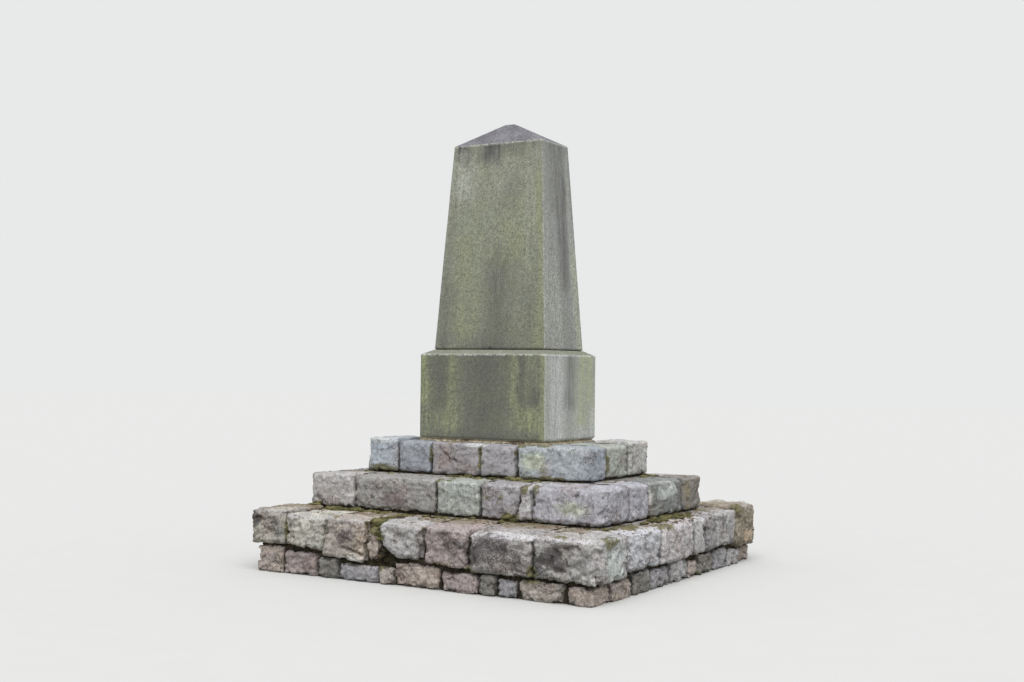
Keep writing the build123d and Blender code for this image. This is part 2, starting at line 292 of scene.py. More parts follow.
# One object from many skins, with colours kept on its points
def joinSkins(name, skins, layers):
    points = np.concatenate([skin[0] for skin in skins])
    shifts = np.cumsum([0] + [len(skin[0]) for skin in skins[:-1]])
    faces = np.concatenate([skin[1] + shift for skin, shift in zip(skins, shifts)])
    mesh = bpy.data.meshes.new(name)
    mesh.vertices.add(len(points))
    mesh.vertices.foreach_set("co", points.astype(np.float32).ravel())
    mesh.loops.add(faces.size)
    mesh.loops.foreach_set("vertex_index", faces.astype(np.int32).ravel())
    mesh.polygons.add(len(faces))
    mesh.polygons.foreach_set("loop_start", np.arange(0, faces.size, faces.shape[1], dtype=np.int32))
    mesh.polygons.foreach_set("use_smooth", np.ones(len(faces), bool))
    mesh.update(calc_edges=True)
    for index, layer in enumerate(layers):
        values = np.concatenate([skin[2][index] for skin in skins])
        rgba = np.ones((len(values), 4), np.float32)
        rgba[:, :3] = values
        mesh.attributes.new(layer, "FLOAT_COLOR", "POINT").data.foreach_set("color", rgba.ravel())
    piece = added(name, mesh)
    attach(piece, "root")
    return piece


# Joins the flat hidden faces of a piece, which saves triangles and changes no shape
def mergeFlat(piece, angle):
    spare = piece.modifiers.new("merge", "DECIMATE")
    spare.decimate_type = "DISSOLVE"
    spare.angle_limit = math.radians(angle)
    bpy.context.view_layer.update()
    made = meshOf(piece)
    piece.modifiers.clear()
    piece.data = made


def triangles(pieces):
    return sum(len(piece.data.loops) - 2 * len(piece.data.polygons) for piece in pieces)


# Kinds of block: colour, how sooty its middle is, and how much pale lichen grows on it
stoneKinds = {
    "grey": ((148, 144, 145), 0.10, 0.40),
    "paleBlue": ((118, 128, 142), 0.00, 0.15),
    "slateBlue": ((95, 100, 109), 0.15, 0.10),
    "purple": ((102, 96, 99), 0.25, 0.15),
    "plum": ((97, 94, 91), 0.30, 0.15),
    "pinkGrey": ((112, 108, 113), 0.15, 0.15),
    "mossGrey": ((115, 121, 114), 0.10, 0.20),
    "lichened": ((121, 129, 137), 0.05, 0.50),
    "blueGrey": ((103, 112, 123), 0.10, 0.25),
    "tanGrey": ((120, 125, 115), 0.05, 0.20),
    "paleTan": ((155, 153, 147), 0.00, 0.20),
    "shell": ((135, 130, 128), 0.05, 0.20),
    "lilacGrey": ((132, 129, 141), 0.05, 0.20),
    "drip": ((74, 77, 76), 0.15, 0.50),
    "umber": ((75, 71, 65), 0.30, 0.20),
    "clay": ((131, 123, 109), 0.35, 0.30),
    "cream": ((162, 157, 141), 0.35, 0.35),
    "ochre": ((133, 119, 108), 0.35, 0.20),
    "lilac": ((129, 125, 124), 0.25, 0.20),
    "rose": ((117, 99, 96), 0.35, 0.20),
    "soot": ((114, 108, 106), 0.75, 0.30),
    "whitened": ((144, 139, 138), 0.10, 0.45),
    "ashen": ((126, 121, 117), 0.45, 0.30),
    "mauve": ((174, 173, 183), 0.05, 0.30),
    "haze": ((155, 151, 152), 0.15, 0.25),
    "sand": ((168, 158, 160), 0.15, 0.20),
    "rust": ((99, 86, 69), 0.20, 0.30),
    "brick": ((136, 116, 104), 0.20, 0.15),
}

# The blocks of each row from its left end, and for a corner its front and its side
rowKinds = {
    "lower_step_front": ["cream", "ochre", "brick", "lilac", "rose", "soot"],
    "lower_step_right": ["mauve", "sand", "haze", "purple", "lilac"],
    "lower_corner_front_right": ["ashen", "whitened"],
    "lower_corner_front_left": ["clay", "rust"],
    "middle_step_front": ["plum", "mossGrey", "pinkGrey", "grey"],
    "middle_step_right": ["lilacGrey", "drip"],
    "middle_corner_front_right": ["lilacGrey", "lilacGrey"],
    "middle_corner_front_left": ["shell", "umber"],
    "upper_step_front": ["slateBlue", "purple", "pinkGrey"],
    "upper_step_right": ["tanGrey"],
    "upper_corner_front_right": ["lichened", "blueGrey"],
    "upper_corner_front_left": ["paleBlue", "paleTan"],
    "footing_front": ["brick", "rose", "umber", "pinkGrey", "ochre"],
    "footing_right": ["brick", "umber", "pinkGrey", "grey"],
}
opposite = {"front": "back", "back": "front", "left": "right", "right": "left"}


def turnedName(name):  # the row or corner that this one repeats, half a turn away
    return "_".join(opposite.get(word, word) for word in name.split("_"))


# What grows or has happened at single places, with painted shade and highlight at a few: kind,
# colour, then each middle and reach in metres
marks = [
    ("moss", None, [
        ((0.57, -1.00, 0.51), (0.09, 0.07, 0.07)), ((-0.405, -0.65, 0.93), (0.03, 0.05, 0.11)),
        ((0.075, -0.65, 0.94), (0.03, 0.05, 0.12)), ((1.03, -0.29, 0.91), (0.05, 0.035, 0.10)),
        ((-0.88, -0.66, 0.81), (0.20, 0.05, 0.05)), ((0.72, -0.66, 0.80), (0.26, 0.04, 0.03)),
        ((1.57, -1.34, 0.43), (0.08, 0.14, 0.06)), ((1.42, -0.72, 0.47), (0.10, 0.20, 0.05)),
        ((1.26, -1.48, 0.45), (0.09, 0.06, 0.04)), ((1.56, -0.30, 0.46), (0.09, 0.13, 0.05)),
        ((1.56, 1.12, 0.47), (0.07, 0.10, 0.06)), ((-0.35, -1.50, 0.43), (0.06, 0.08, 0.06)),
        ((-0.24, -1.51, 0.39), (0.05, 0.05, 0.05)), ((-1.21, -1.51, 0.34), (0.03, 0.05, 0.12)),
        ((1.07, -1.51, 0.21), (0.05, 0.05, 0.06)), ((0.55, -1.51, 0.18), (0.06, 0.05, 0.04)),
        ((0.70, -0.99, 0.75), (0.04, 0.05, 0.05)), ((0.81, -0.98, 0.75), (0.05, 0.05, 0.05)),
    ]),
    ("brown", (90, 76, 50), [
        ((1.36, 0.50, 0.67), (0.05, 0.08, 0.10)), ((1.36, 0.52, 0.53), (0.05, 0.05, 0.04)),
        ((0.30, -1.51, 0.20), (0.10, 0.05, 0.03)),
    ]),
    ("rust", (150, 116, 84), [
        ((1.57, 1.32, 0.23), (0.05, 0.11, 0.06)),
    ]),
    ("ochre", (146, 124, 102), [
        ((-0.46, -1.51, 0.30), (0.10, 0.06, 0.14)),
    ]),
    # painted shade: a dark patch that stands in for the shadow in a recess
    ("recessShade", (60, 48, 50), [
        ((-0.53, -0.99, 0.59), (0.17, 0.06, 0.08)),
    ]),
    ("soot", None, [
        ((0.37, -1.51, 0.37), (0.17, 0.08, 0.12)), ((0.80, -1.51, 0.27), (0.42, 0.09, 0.16)),
        ((0.62, -1.51, 0.29), (0.06, 0.08, 0.13)), ((1.24, -1.51, 0.33), (0.18, 0.09, 0.09)),
        ((1.36, -1.51, 0.28), (0.16, 0.09, 0.08)), ((-1.40, -1.51, 0.43), (0.22, 0.09, 0.08)),
        ((-0.62, -1.51, 0.34), (0.16, 0.08, 0.11)), ((0.02, -1.51, 0.26), (0.12, 0.06, 0.05)),
    ]),
    ("crust", (184, 193, 190), [
        ((1.36, 0.10, 0.70), (0.05, 0.22, 0.08)), ((-0.92, -0.64, 1.05), (0.16, 0.07, 0.03)),
        ((0.02, -0.64, 1.05), (0.10, 0.07, 0.03)), ((1.59, -1.25, 0.33), (0.09, 0.17, 0.14)),
        ((1.59, -1.22, 0.20), (0.09, 0.10, 0.06)),
    ]),
    # pale worn lips along the lower course's top, brightened with painted highlight
    ("lilacLitWornLip", (190, 186, 192), [
        ((0.80, -1.50, 0.46), (0.32, 0.10, 0.03)), ((1.30, -1.50, 0.46), (0.28, 0.10, 0.025)),
    ]),
    ("green", (154, 163, 128), [
        ((0.58, -0.65, 0.94), (0.15, 0.05, 0.09)), ((1.10, -0.99, 0.62), (0.16, 0.05, 0.08)),
    ]),
    ("chip", (204, 198, 190), [
        ((1.50, -1.51, 0.20), (0.07, 0.06, 0.05)), ((-0.58, -1.51, 0.17), (0.17, 0.06, 0.035)),
        ((0.88, -1.51, 0.19), (0.12, 0.05, 0.02)),
    ]),
    ("lime", (214, 208, 198), [
        ((1.36, -0.20, 0.66), (0.05, 0.032, 0.13)), ((-0.93, -0.99, 0.62), (0.022, 0.05, 0.03)),
    ]),
]
# each course's lip is a worn pale band with painted highlight; its number is how far down it reaches
courses = {
    "lower": {"above": "middle", "relief": 1.0, "rounds": 4, "litWornLip": 0.085, "moss": 1.0, "soil": 0.9},
    "middle": {"above": "upper", "relief": 0.65, "rounds": 2, "litWornLip": 0.035, "moss": 0.7, "soil": 0.5},
    "upper": {"above": "plinth", "relief": 0.45, "rounds": 2, "litWornLip": 0.025, "moss": 0.1, "soil": 0.2},
    "footing": {"above": "lower", "relief": 1.1, "rounds": 5, "litWornLip": 0.03, "moss": 0.5, "soil": 0.5},
}
carving = {
    "grain": 0.011, "swell": 0.0045, "flakeSize": 0.10, "flakeDepth": 0.030, "chipSize": 0.045,
    "chipDepth": 0.015, "grainSize": 0.026, "grainDepth": 0.005, "waveSize": 0.25,
    "waveDepth": 0.012, "breakSize": 0.07, "breakDepth": 1.3, "arrisRounds": 10, "treadShare": 0.4,
    "faceReach": 0.10, "freeEnd": 0.08, "mossHeight": 0.006, "proudest": 0.006, "deepest": -0.026,
    "crackDepth": 0.022, "flatAngle": 0.8,
}
weather = {  # pairs say where a thing is full and where it has gone; mossSize: small, wide patches
    "tread": (0.03, 0.07), "heart": (0.11, 0.02), "joint": (0.002, 0.018), "turn": (-0.04, 0.05),
    "wall": (0.0, 0.14), "seam": (0.0, 0.03), "mossEdge": (0.78, 0.5), "mossSize": (0.16, 0.55),
    "mossFrom": {"wall": 0.55, "level": 0.1, "seam": 0.35, "wide": 0.5},
    "mark": (0.55, 1.15), "sootMark": (0.2, 1.3), "litter": (0.15, 0.65), "toneChange": 0.06,
    "edgeSoot": 0.35, "jointShade": 0.4, "crackShade": 0.75, "markShare": 0.8,
}
cracks = [  # the ends of each, in metres, and its half width
    ((0.745, -1.01, 0.72), (0.785, -1.01, 0.58), 0.012),
    ((0.40, -0.66, 0.93), (0.47, -0.66, 0.84), 0.008),
    ((-0.27, -0.66, 0.98), (-0.13, -0.66, 0.88), 0.009),
    ((1.30, -1.53, 0.25), (1.58, -1.50, 0.21), 0.013),
    ((0.86, -1.53, 0.22), (1.10, -1.53, 0.19), 0.011),
    ((1.60, -1.12, 0.20), (1.60, -0.92, 0.30), 0.012),
    ((-0.66, -1.53, 0.26), (-0.40, -1.53, 0.20), 0.013),
]


# Middle and half size on plan of all nodes whose name starts so
def spread(word):
    boxes = [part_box(name) for name in nodes if name.startswith(word)]
    low = [min(box[0][axis] for box in boxes) for axis in (0, 1)]
    high = [max(box[1][axis] for box in boxes) for axis in (0, 1)]
    return np.add(low, high) / 2, np.subtract(high, low) / 2


# Height of the hewn relief, in metres
def hewn(own, salt):
    height = chips(own, carving["flakeSize"], salt) * carving["flakeDepth"]
    height += chips(own * (1, 1, 1.5), carving["chipSize"], salt + 91) * carving["chipDepth"]
    height += layered(own, carving["grainSize"], salt + 7, 2) * carving["grainDepth"]
    return height + (layered(own, carving["waveSize"], salt + 23, 2) - 0.2) * carving["waveDepth"]


# 1 in the cracks that cross these places, 0 away from them
def cracked(plain):
    found = np.zeros(len(plain))
    wander = layered(plain, 0.06, 77, 2)[:, None] * (0.02, 0.02, 0.02)
    for start, end, width in cracks:
        along = np.subtract(end, start)
        share = np.clip((plain - start) @ along / (along @ along), 0, 1)
        away = np.linalg.norm(plain + wander - (np.array(start) + share[:, None] * along), axis=1)
        found = np.maximum(found, fade(away, width * 0.4, width * 1.6))
    return found


# How far each point of a block is from its free faces, joints, top and foot, and how far out it
# is from the course above
def distances(plain, course):
    middle, half = spread(course)
    aboveMiddle, aboveHalf = spread(courses[course]["above"])
    low, high = plain.min(axis=0), plain.max(axis=0)
    side, front = (half - np.abs(plain[:, :2] - middle)).T
    ends = np.full((len(plain), 2), 9.0)
    for axis in (0, 1):
        for end in (low[axis], high[axis]):
            if abs(abs(end - middle[axis]) - half[axis]) > carving["freeEnd"]:  # not a free face
                ends[:, axis] = np.minimum(ends[:, axis], np.abs(plain[:, axis] - end))
    joint = np.where(side < front, ends[:, 1], ends[:, 0])
    return {
        "side": side,
        "front": front,
        "face": np.minimum(side, front),
        "joint": joint,
        "edge": np.minimum(joint, np.maximum(side, front)),
        "top": high[2] - plain[:, 2],
        "foot": plain[:, 2] - low[2],
        "inner": (np.abs(plain[:, :2] - aboveMiddle) - aboveHalf).max(axis=1),
    }


# Flakes and broken arrises, in metres outwards
def relief(plain, own, quads, shown, strength, salt):
    carve = np.zeros(len(plain))
    seen = shown > 0
    carve[seen] = hewn(own[seen], salt) * strength
    arris = np.linalg.norm(plain - relaxed(plain, quads, carving["arrisRounds"]), axis=1)
    broken = fade(layered(own, carving["breakSize"], salt + 4, 3), 0.5, -0.3)
    carve = carve - arris * broken * carving["breakDepth"]
    return np.clip(carve, carving["deepest"], carving["proudest"])


# Moss that grows by itself: on level places, in joints and at the foot of the course above
def grownMoss(plain, own, away, upward, onFace, strength, salt):
    share = weather["mossFrom"]
    patch = layered(own, weather["mossSize"][0], salt + 5, 4)
    wide = layered(plain, weather["mossSize"][1], 9, 2)
    wall = fade(away["inner"], *weather["wall"]) * upward
    seam = fade(away["joint"], *weather["seam"]) * fade(away["top"], *weather["wall"]) * onFace
    damp = strength * (share["wall"] * wall + share["level"] * upward + share["seam"] * seam)
    return fade(patch + damp + share["wide"] * wide, *weather["mossEdge"])


# A block's colour, soot and lichen. A corner has one kind on its front and one on its side.
def stoneTones(plain, away, kinds, salt):
    first, second = (kinds * 2)[:2]
    ragged = layered(plain, 0.09, 71, 3) * 0.12
    turn = fade(away["side"] - away["front"] + ragged, *weather["turn"])
    colours = [np.array(stoneKinds[kind][0]) / 255 for kind in (first, second)]
    tone = colours[0] + (colours[1] - colours[0]) * turn[:, None]
    tone = tone * (1 + weather["toneChange"] * (scatter(np.array([[salt, 1, 4]]), 5) - 0.5))
    soot, lichen = (
        stoneKinds[first][part] * (1 - turn) + stoneKinds[second][part] * turn for part in (1, 2)
    )
    return tone, soot, lichen


# Adds what has happened at single places, and the painted shade and highlight among them
def marked(plain, tone, soot, moss):
    ragged = layered(plain, 0.05, 31, 3) * 0.45
    blotchy = layered(plain, 0.14, 47, 4) * 1.2
    for kind, colour, spots in marks:
        for place, reach in spots:
            away = np.linalg.norm((plain - place) / reach, axis=1)
            away = away + (blotchy if kind == "soot" else ragged)
            mark = fade(away, *weather["mark"])
            if kind == "moss":
                moss = np.maximum(moss, mark)
            elif kind == "soot":
                soot = np.maximum(soot, fade(away, *weather["sootMark"]))
            elif mark.max() > 0:
                shift = np.array(colour) / 255 - tone
                tone = tone + shift * (mark * weather["markShare"])[:, None]
    return tone, soot, moss


# Carves one block: flaked face, broken arrises, mossy tread, a worn lip with painted highlight
def carveBlock(name, plain, normals, quads, kinds, salt):
    course = name.split("_")[0]
    look = courses[course]
    own = plain + scatter(np.array([[salt, 3, 7], [salt, 5, 1], [salt, 2, 9]]), 1) * 40
    away = distances(plain, course)
    onFace = fade(away["face"], carving["faceReach"] * 0.5, carving["faceReach"])
    onTread = fade(away["top"], *weather["tread"]) * fade(away["inner"], 0.0, -0.03)
    free = np.maximum(onFace, onTread)
    shown = np.maximum(onFace, onTread * carving["treadShare"])
    shadedCrack = cracked(plain) * onFace
    carve = relief(plain, own, quads, shown, look["relief"], salt) - shadedCrack * carving["crackDepth"]
    inside = np.minimum(np.minimum(away["edge"], away["foot"]), away["top"])
    heart = fade(inside, *weather["heart"]) * onFace
    joint = fade(away["joint"], *weather["joint"]) * onFace
    tone, soot, lichen = stoneTones(plain, away, kinds, salt)
    # painted shade, with some dirt, darkens the face along the joints
    tone = tone * (1 - weather["jointShade"] * joint)[:, None]
    soot = soot * (weather["edgeSoot"] + (1 - weather["edgeSoot"]) * heart)
    upward = np.clip(normals[:, 2], 0, 1)
    moss = grownMoss(plain, own, away, upward, onFace, look["moss"], salt)
    tone, soot, moss = marked(plain, tone, soot, moss)
    # painted shade darkens the carved cracks
    tone = tone * (1 - weather["crackShade"] * shadedCrack)[:, None]
    moss = moss * free
    tufts = 1 + layered(own, 0.03, salt + 3, 2)
    shape = carve * shown + moss * carving["mossHeight"] * tufts
    shape = shape + carving["swell"] * np.linalg.norm(normals[:, :2], axis=1)
    # the lip: worn pale stone at the top of the block, plus painted highlight on the rounded upper
    # arris
    litWornLip = fade(away["top"] + np.clip(away["face"] - 0.02, 0, 9) * 0.5, 0.0, look["litWornLip"]) * free
    across = np.clip(away["inner"] / np.maximum(away["inner"] + away["face"], 0.001), 0, 1)
    littered = fade(across + layered(plain, 0.18, 63, 3) * 0.5, *weather["litter"])
    litter = onTread * littered * look["soil"]
    seed = np.full((len(plain), 3), (salt * 0.37) % 10)
    seed[:, 1] = look["relief"]
    layers = (
        tone, np.stack([heart, litWornLip, litter], axis=1), np.stack([soot, lichen, moss], axis=1), seed
    )
    return relaxed(plain, quads, look["rounds"]) + normals * shape[:, None], layers


def blocks(name, salt):
    course = name.split("_")[0]
    kinds = rowKinds.get(name) or rowKinds[turnedName(name)]
    solids = solidsOf(name)
    along = 1 if name.split("_")[-1] in ("right", "left") else 0
    solids.sort(key=lambda solid: np.mean(solid[0], axis=0)[along])
    if name.endswith(("_back", "_left")):
        solids.reverse()
    grain = carving["grain"] * 1
    skins = []
    for index, (points, faces) in enumerate(solids):
        plain, normals, quads = evenSkin(points, faces, grain)
        pair = kinds if "corner" in name else [kinds[index % len(kinds)]]
        carved, layers = carveBlock(name, plain, normals, quads, pair, salt + index * 13)
        skins.append((carved, quads, layers))
    piece = joinSkins(name + "_stones", skins, ["tone", "shape", "growth", "seed"])
    mergeFlat(piece, carving["flatAngle"])
    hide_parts(name)
    course + "_stone"
    return piece


mossPaints = (paint(92, 91, 61), paint(134, 128, 89))  # damp and dry


# Rough weathered block stone: broken facets, speckled mineral, soot in its middle, pale broken
# lips lit with painted highlight, crusts of lichen, a few cracks and creases darkened with painted
# shade, dirt and moss. Scales are in waves a metre.
def rockMaterial():
    look = {
        "soot": paint(67, 61, 62), "litWornLip": paint(198, 194, 195), "lichenPale": paint(174, 178, 171),
        "lichenGreen": paint(150, 156, 134), "soil": paint(152, 144, 127),
        "soilRed": paint(146, 124, 104), "shadedCrack": paint(46, 42, 39), "pit": paint(62, 57, 54),
        "blush": paint(152, 126, 116), "slate": paint(120, 124, 131), "mottle": 1.5, "speck": 1.9,
        "patchy": 0.9, "bands": 0.4, "facet": 0.4, "relief": 0.0055, "bandScale": (9.0, 9.0, 42.0),
        "veinScale": (2.6, 2.6, 4.4),
    }
    scale = {
        "broad": 5.0, "mottle": 60.0, "speck": 125.0, "fleck": 72.0, "smudge": 7.0, "patchy": 19.0,
        "wobble": 22.0, "flake": 24.0, "crust": 16.0, "green": 9.0, "pits": 85.0, "crease": 13.0,
    }
    share = {
        "blush": 0.4, "slate": 0.35, "soot": 0.8, "litWornLip": 0.52, "pale": 0.5, "green": 0.35,
        "dirt": 0.85, "pit": 0.7, "shadedCrack": 0.75, "crease": 0.42, "moss": 0.9,
    }
    rock = Shade("rock")
    seed = rock.attribute("seed")
    at = rock.shift(rock.place(), rock.stretch(seed, (3.1, 5.3, 7.7)))
    grit = 0.35 + rock.split(seed)[1] * 0.65
    litWornLip, litter = rock.split(rock.attribute("shape"))[1:]
    soot, lichen, moss = rock.split(rock.attribute("growth"))
    broad = rock.noise(at, scale["broad"], 5.0, 0.6)
    mottle = rock.noise(at, scale["mottle"], 4.0, 0.75)
    speck = rock.noise(at, scale["speck"], 3.0, 0.75)
    bands = rock.noise(rock.stretch(at, look["bandScale"]), 1.0, 4.0, 0.6, 0.6)
    fleck = rock.noise(at, scale["fleck"], 3.0, 0.7)
    smudge = rock.noise(at, scale["smudge"], 4.0, 0.6)
    patchy = rock.noise(at, scale["patchy"], 4.0, 0.65, 0.3)
    wobble = rock.make("TexNoise", None, {"Vector": at, "Scale": scale["wobble"], "Detail": 3.0}, 1)
    bent = rock.shift(at, rock.stretch(wobble, (0.03, 0.03, 0.03)))
    flake = rock.facets(bent, scale["flake"])
    blush = rock.step(broad, 0.5, 0.7) * share["blush"]
    colour = rock.blend(rock.attribute("tone"), look["blush"], blush)
    colour = rock.blend(colour, look["slate"], rock.step(smudge, 0.52, 0.7) * share["slate"])
    level = 1.0 + ((mottle - 0.5) * look["mottle"] + (speck - 0.5) * look["speck"]) * grit
    level = level + (bands - 0.5) * look["bands"] + (patchy - 0.5) * look["patchy"]
    level = level + flake * look["facet"]
    colour = rock.tone(colour, level.atLeast(0.2))
    sooty = soot + (mottle - 0.5) * 1.9 + (fleck - 0.5) * 1.3 + (smudge - 0.5) * 1.3
    colour = rock.blend(colour, look["soot"], rock.step(sooty, 0.35, 1.05) * share["soot"])
    # the lip turns pale: worn bare stone, plus painted highlight where the upper arris meets the
    # light
    litAndBare = rock.step(litWornLip + (mottle - 0.5) * 2.2 + (broad - 0.5) * 1.0, 0.5, 0.9)
    colour = rock.blend(colour, rock.tone(look["litWornLip"], 0.5 + speck), litAndBare * share["litWornLip"])
    crust = rock.noise(at, scale["crust"], 5.0, 0.75, 0.4)
    pale = rock.step(crust * 0.6 + fleck * 0.5 + lichen * 0.06, 0.65, 0.70)
    colour = rock.blend(colour, look["lichenPale"], pale * (0.06 + lichen * share["pale"]))
    green = rock.noise(at, scale["green"], 4.0, 0.7) + fleck * 0.3 + lichen * 0.06
    green = rock.step(green, 0.76, 0.86) * lichen * share["green"]
    colour = rock.blend(colour, look["lichenGreen"], green)
    dirt = rock.step(litter + (broad - 0.5) * 1.4 + (mottle - 0.5) * 1.4, 0.42, 0.72)
    soil = rock.blend(look["soil"], look["soilRed"], rock.step(smudge, 0.42, 0.62))
    colour = rock.blend(colour, rock.tone(soil, 0.35 + speck * 1.3), dirt * share["dirt"])
    pits = 1 - rock.step(rock.noise(at, scale["pits"], 3.0, 0.75), 0.35, 0.42)
    colour = rock.blend(colour, look["pit"], pits * share["pit"])
    # cracks and creases: thin grooves darkened with painted shade
    vein = rock.veins(rock.shift(rock.stretch(at, look["veinScale"]), wobble))
    shadedCrack = (1 - rock.step(vein, 0.004, 0.018)) * rock.step(broad + mottle * 0.3, 0.66, 0.72)
    colour = rock.blend(colour, look["shadedCrack"], shadedCrack * share["shadedCrack"])
    crease = 1 - rock.step(abs(rock.noise(bent, scale["crease"], 3.0, 0.6) - 0.5), 0.004, 0.022)
    crease = crease * rock.step(patchy, 0.42, 0.58) * grit
    colour = rock.blend(colour, look["shadedCrack"], crease * share["crease"])
    mossy = moss + (fleck - 0.5) * 2.6 + (speck - 0.5) * 2.2 + (mottle - 0.5) * 1.4
    tuft = rock.step(mossy, 0.48, 0.74)
    green = rock.blend(*mossPaints, rock.step(fleck + broad * 0.6, 0.70, 0.90))
    colour = rock.blend(colour, rock.tone(green, 0.3 + speck * 1.4), tuft * share["moss"])
    height = mottle * 0.5 + speck * 0.3 + fleck * 0.3 + flake * 0.5 - shadedCrack * 0.6 - crease * 0.5
    height = height + tuft * 0.2
    return rock.finish(colour, 0.8 + speck * 0.25, height, look["relief"], 0.15)


dressing = {  # what the shaft and plinth have in common
    "grain": 0.012, "hollow": 0.0015, "hollowSize": 0.35, "nick": 1.6, "nickSize": 0.07,
    "nickDepth": 0.012, "arrisRounds": 12, "worn": 0.15, "wornSize": 0.2, "algaeShare": 0.55,
    "relief": 0.003, "streakScale": (26.0, 26.0, 1.9), "stainSoft": 0.07,
}


# Fine-grained sawn stone of the shaft and plinth, with stains that run down it. Each stain has its
# place across the face from -1 to 1, its width, its low and high ends as shares of the height, its
# colour and its strength. The back has those of the front, and both sides the same.
def dressedMaterial(name, look):
    stone = Shade(name + "Stone")
    low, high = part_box(name)
    at = stone.shift(stone.place(), (-(low.x + high.x) / 2, -(low.y + high.y) / 2, -low.z))
    x, y, z = stone.split(at)
    facing = stone.split(stone.make("NewGeometry", output=1))
    front = stone.step(abs(facing[1]), 0.6, 0.75)
    up = z / look["rise"]
    acrossFront = x / (look["foot"][0] + (look["head"][0] - look["foot"][0]) * up)
    acrossSide = y / (look["foot"][1] + (look["head"][1] - look["foot"][1]) * up)
    wander = stone.noise(stone.stretch(at, (1.0, 1.0, 0.8)), 7.0, 3.0) - 0.5
    streak = stone.noise(stone.stretch(at, dressing["streakScale"]), 1.0, 5.0, 0.7)
    cloud = stone.noise(at, 4.5, 5.0, 0.6)
    mottle = stone.noise(stone.stretch(at, (1.0, 1.0, 0.85)), 40.0, 4.0, 0.75)
    speck = stone.noise(at, 105.0, 2.0, 0.65)
    base = stone.blend(look["side"], look["front"], front)
    level = 1.0 + (mottle - 0.5) * look["mottle"] + (speck - 0.5) * look["speck"]
    level = level + (streak - 0.5) * look["streak"] + (up - 0.45) * look["rising"]
    algae = stone.step(cloud + streak * 0.35 + mottle * 0.3, 0.72, 0.98) * (0.2 + front * 0.8)
    colour = stone.blend(base, look["algae"], algae * dressing["algaeShare"])
    soft = dressing["stainSoft"]
    height = up + wander * 0.3 + (streak - 0.5) * 0.2
    broken = stone.step(streak * 1.2 + mottle * 0.6 + speck * 0.3, 0.76, 1.2)
    faces = ((front, acrossFront, look["frontStains"]), (1 - front, acrossSide, look["sideStains"]))
    for face, across, stains in faces:
        where = across + wander * 0.16 + (streak - 0.5) * 0.12
        for middle, width, start, end, paintName, strength in stains:
            band = 1 - stone.step(abs(where - middle), width * 0.1, width * 1.2)
            run = stone.step(height, start - soft, start + soft)
            run = run * (1 - stone.step(height, end - soft, end + soft))
            mask = band * run * broken * face
            colour = stone.blend(colour, look[paintName], mask * strength)
    top = stone.step(z, look["topLow"], look["topHigh"])
    rough = stone.step(mottle + cloud * 0.6, 0.70, 0.86) * 0.9
    colour = stone.blend(colour, stone.blend(look["top"], look["topDark"], rough), top)
    rim = 1 - stone.step(abs(z - look["topLow"]), 0.004, 0.012)
    colour = stone.blend(colour, look["pale"], rim * stone.step(mottle, 0.4, 0.6) * 0.6)
    colour = stone.tone(colour, level)
    specks = 1 - stone.step(stone.noise(at, 80.0, 3.0, 0.7), 0.33, 0.42)
    colour = stone.blend(colour, look["dark"], specks * 0.6)
    height = mottle * 0.5 + speck * 0.4
    return stone.finish(colour, 0.8 + speck * 0.2, height, dressing["relief"], 0.2)


def halfPlan(name):  # half sizes of a node on plan
    low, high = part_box(name)
    return (high.x - low.x) / 2, (high.y - low.y) / 2


# Height of the upright faces and their half sizes on plan at foot and head, in metres
shaftLook = {
    "rise": 1.726, "foot": halfPlan("shaft"), "head": (0.434, 0.221), "front": paint(146, 149, 134),
    "side": paint(163, 164, 162), "algae": paint(146, 148, 124), "algaeSide": paint(184, 190, 168),
    "dark": paint(86, 84, 87), "grey": paint(116, 117, 110), "pale": paint(182, 183, 175),
    "green": paint(149, 153, 122), "top": paint(136, 135, 140), "topDark": paint(104, 102, 107),
    "topLow": 1.724, "topHigh": 1.732, "rising": 0.16, "streak": 0.4, "mottle": 1.4, "speck": 1.8,
    "frontStains": [
        (-0.77, 0.26, 0.92, 1.15, "dark", 1.0), (-0.84, 0.12, 0.94, 1.15, "dark", 0.8),
        (-0.06, 0.46, 0.94, 1.15, "dark", 0.9), (-0.08, 0.26, 0.88, 1.15, "dark", 0.8),
        (0.62, 0.46, 0.955, 1.15, "dark", 0.8), (-0.70, 0.36, 0.70, 0.93, "pale", 0.7),
        (0.10, 0.60, 0.80, 0.92, "pale", 0.25), (0.36, 0.26, 0.72, 0.86, "grey", 0.55),
        (0.78, 0.20, 0.45, 0.96, "pale", 0.25), (0.92, 0.10, 0.00, 0.86, "green", 0.8),
        (0.45, 0.50, 0.40, 0.66, "green", 0.35), (-0.45, 0.30, 0.02, 0.62, "green", 0.4),
        (-0.99, 0.05, -0.15, 1.00, "pale", 0.5), (-0.90, 0.14, 0.30, 0.80, "grey", 0.35),
        (-0.86, 0.24, -0.15, 0.36, "grey", 0.75), (0.16, 0.46, -0.15, 0.46, "dark", 0.48),
        (0.10, 0.20, 0.02, 0.50, "dark", 0.2), (0.72, 0.20, -0.15, 0.34, "grey", 0.5),
        (0.00, 1.30, -0.15, 0.035, "dark", 0.6), (0.88, 0.16, -0.15, 0.10, "green", 0.6),
    ],
    "sideStains": [
        (-0.86, 0.24, -0.15, 1.00, "pale", 0.6), (-0.30, 0.60, -0.15, 0.42, "pale", 0.8),
        (0.00, 1.30, 0.94, 1.15, "dark", 0.5), (0.10, 1.80, 0.66, 1.15, "grey", 0.5),
        (0.20, 0.46, 0.34, 0.90, "dark", 0.7), (0.16, 0.34, -0.15, 0.42, "grey", 0.25),
        (0.72, 0.18, 0.30, 0.92, "pale", 0.6), (0.84, 0.30, -0.15, 0.50, "algaeSide", 0.9),
    ],
}
